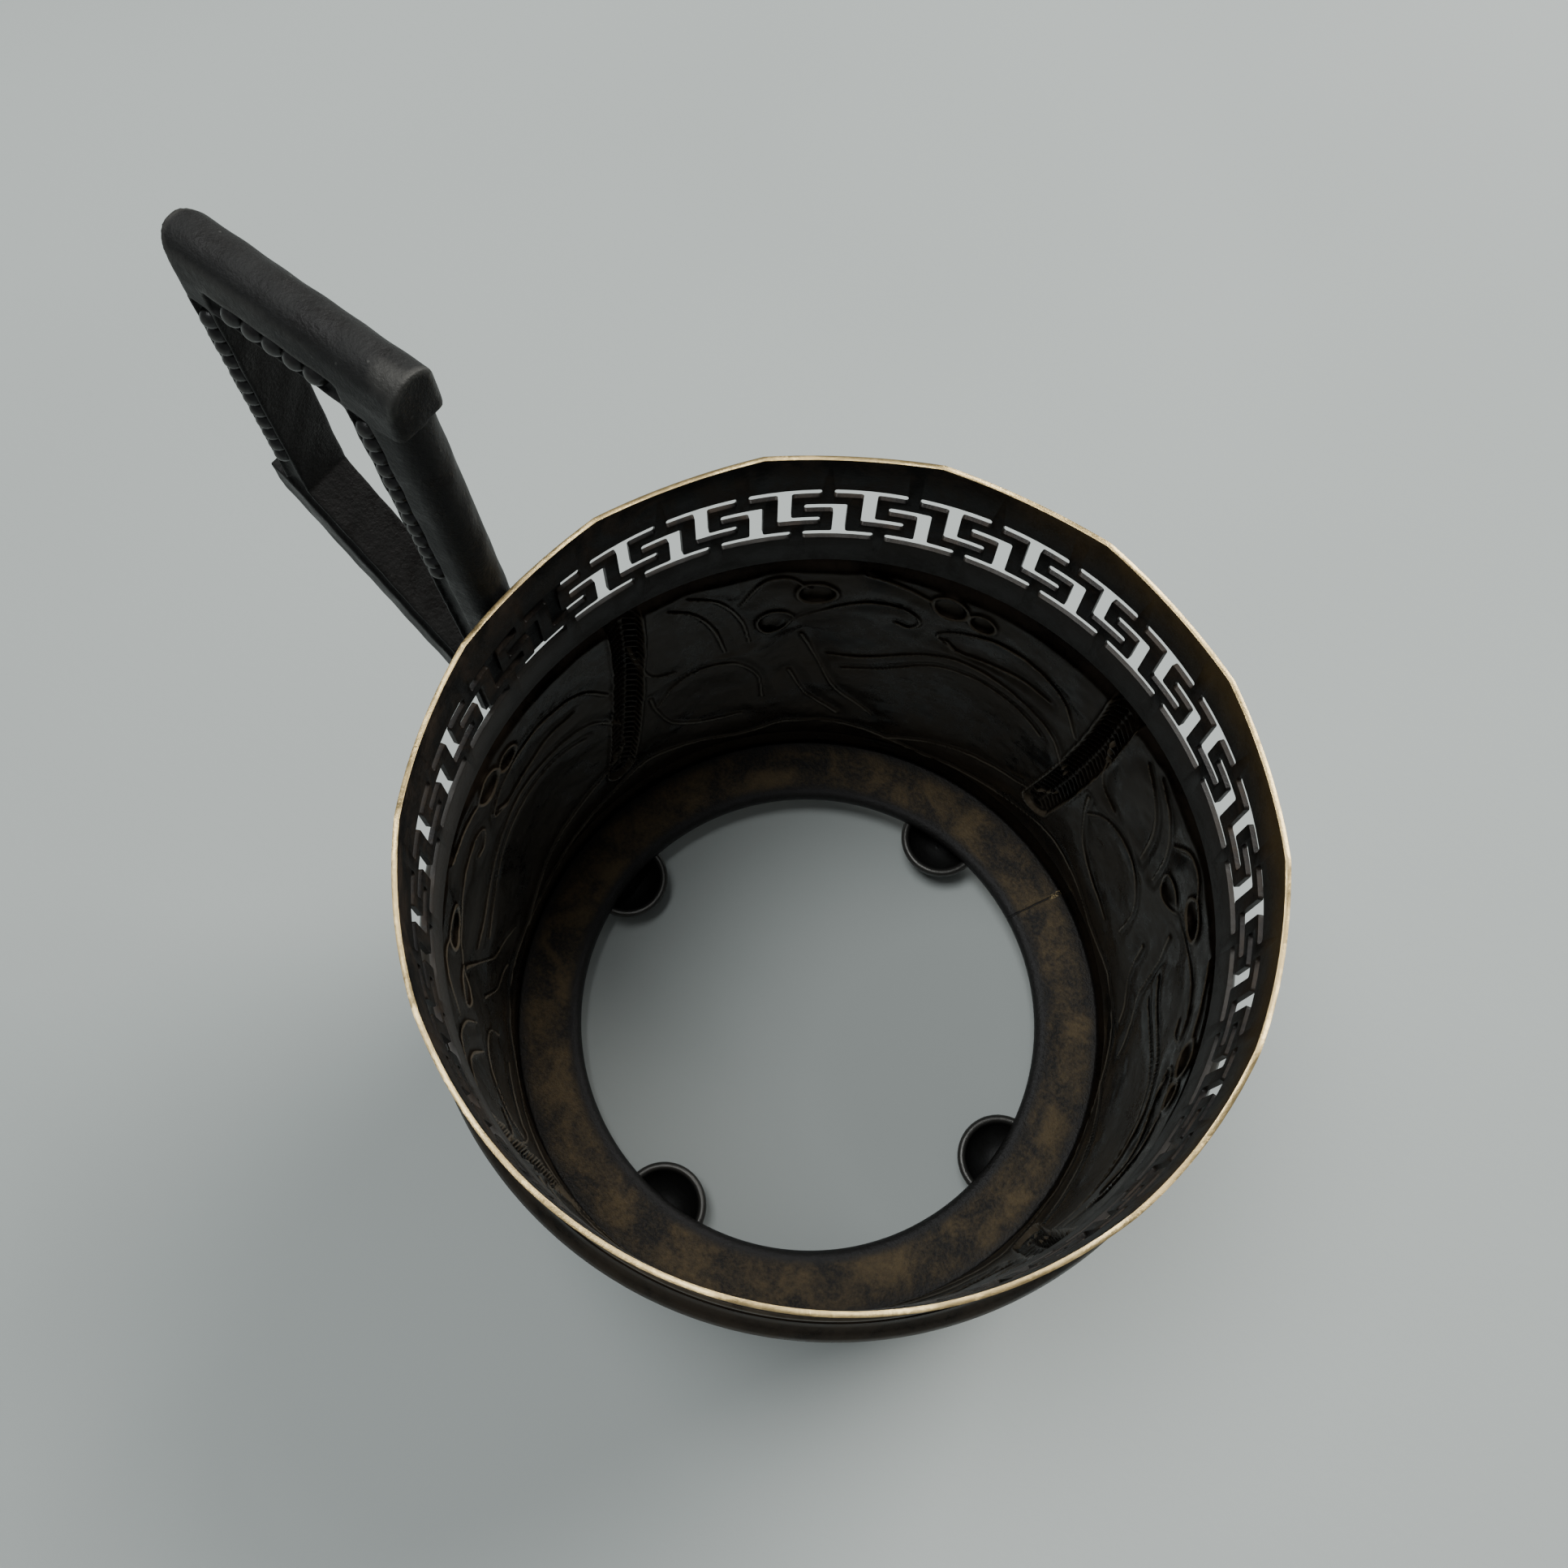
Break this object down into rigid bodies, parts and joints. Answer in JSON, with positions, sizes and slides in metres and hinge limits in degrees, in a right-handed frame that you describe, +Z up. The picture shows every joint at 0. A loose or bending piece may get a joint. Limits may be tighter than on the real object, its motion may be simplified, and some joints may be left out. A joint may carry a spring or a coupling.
{
  "type": "tea glass holder",
  "caption": "Round metal tea-glass holder: pierced meander gallery with a scalloped rim, embossed wall, open base ring on ball feet, beaded loop handle.",
  "frame": {"origin": "on the holder's axis, at the top of the base ring, where the glass stands", "axes": "+Z up along the axis, +X from the axis towards the handle, +Y completes a right-handed frame"},
  "size_m": [0.0877, 0.0672, 0.0932],
  "materials": {
    "gallery_metal": "dark brown to black patina, worn to bright brass along the rim",
    "wall_metal": "near-black patina over brass, glossy in places",
    "ring_metal": "mottled brown and dull gold patina",
    "foot_metal": "dark grey patina, bright on the rim",
    "handle_metal": "matt grey-black cast metal, lighter where hands wear it",
    "bead_metal": "dark cast beads, lighter on their crests"
  },
  "bodies": {
    "root": {"gallery_band": "gallery_metal", "body_wall": "wall_metal", "seam_wire": "wall_metal", "base_ring": "ring_metal", "ball_foot_1": "foot_metal", "ball_foot_2": "foot_metal", "ball_foot_3": "foot_metal", "ball_foot_4": "foot_metal", "handle_top_bar": "handle_metal", "handle_outer_leg": "handle_metal", "handle_inner_leg": "handle_metal", "handle_lower_bar": "handle_metal", "handle_upper_saddle": "handle_metal", "handle_lower_saddle": "handle_metal", "top_bar_beads_left": "bead_metal", "top_bar_beads_right": "bead_metal", "outer_leg_beads_left": "bead_metal", "outer_leg_beads_right": "bead_metal", "inner_leg_beads_left": "bead_metal", "inner_leg_beads_right": "bead_metal"}
  },
  "joints": []
}
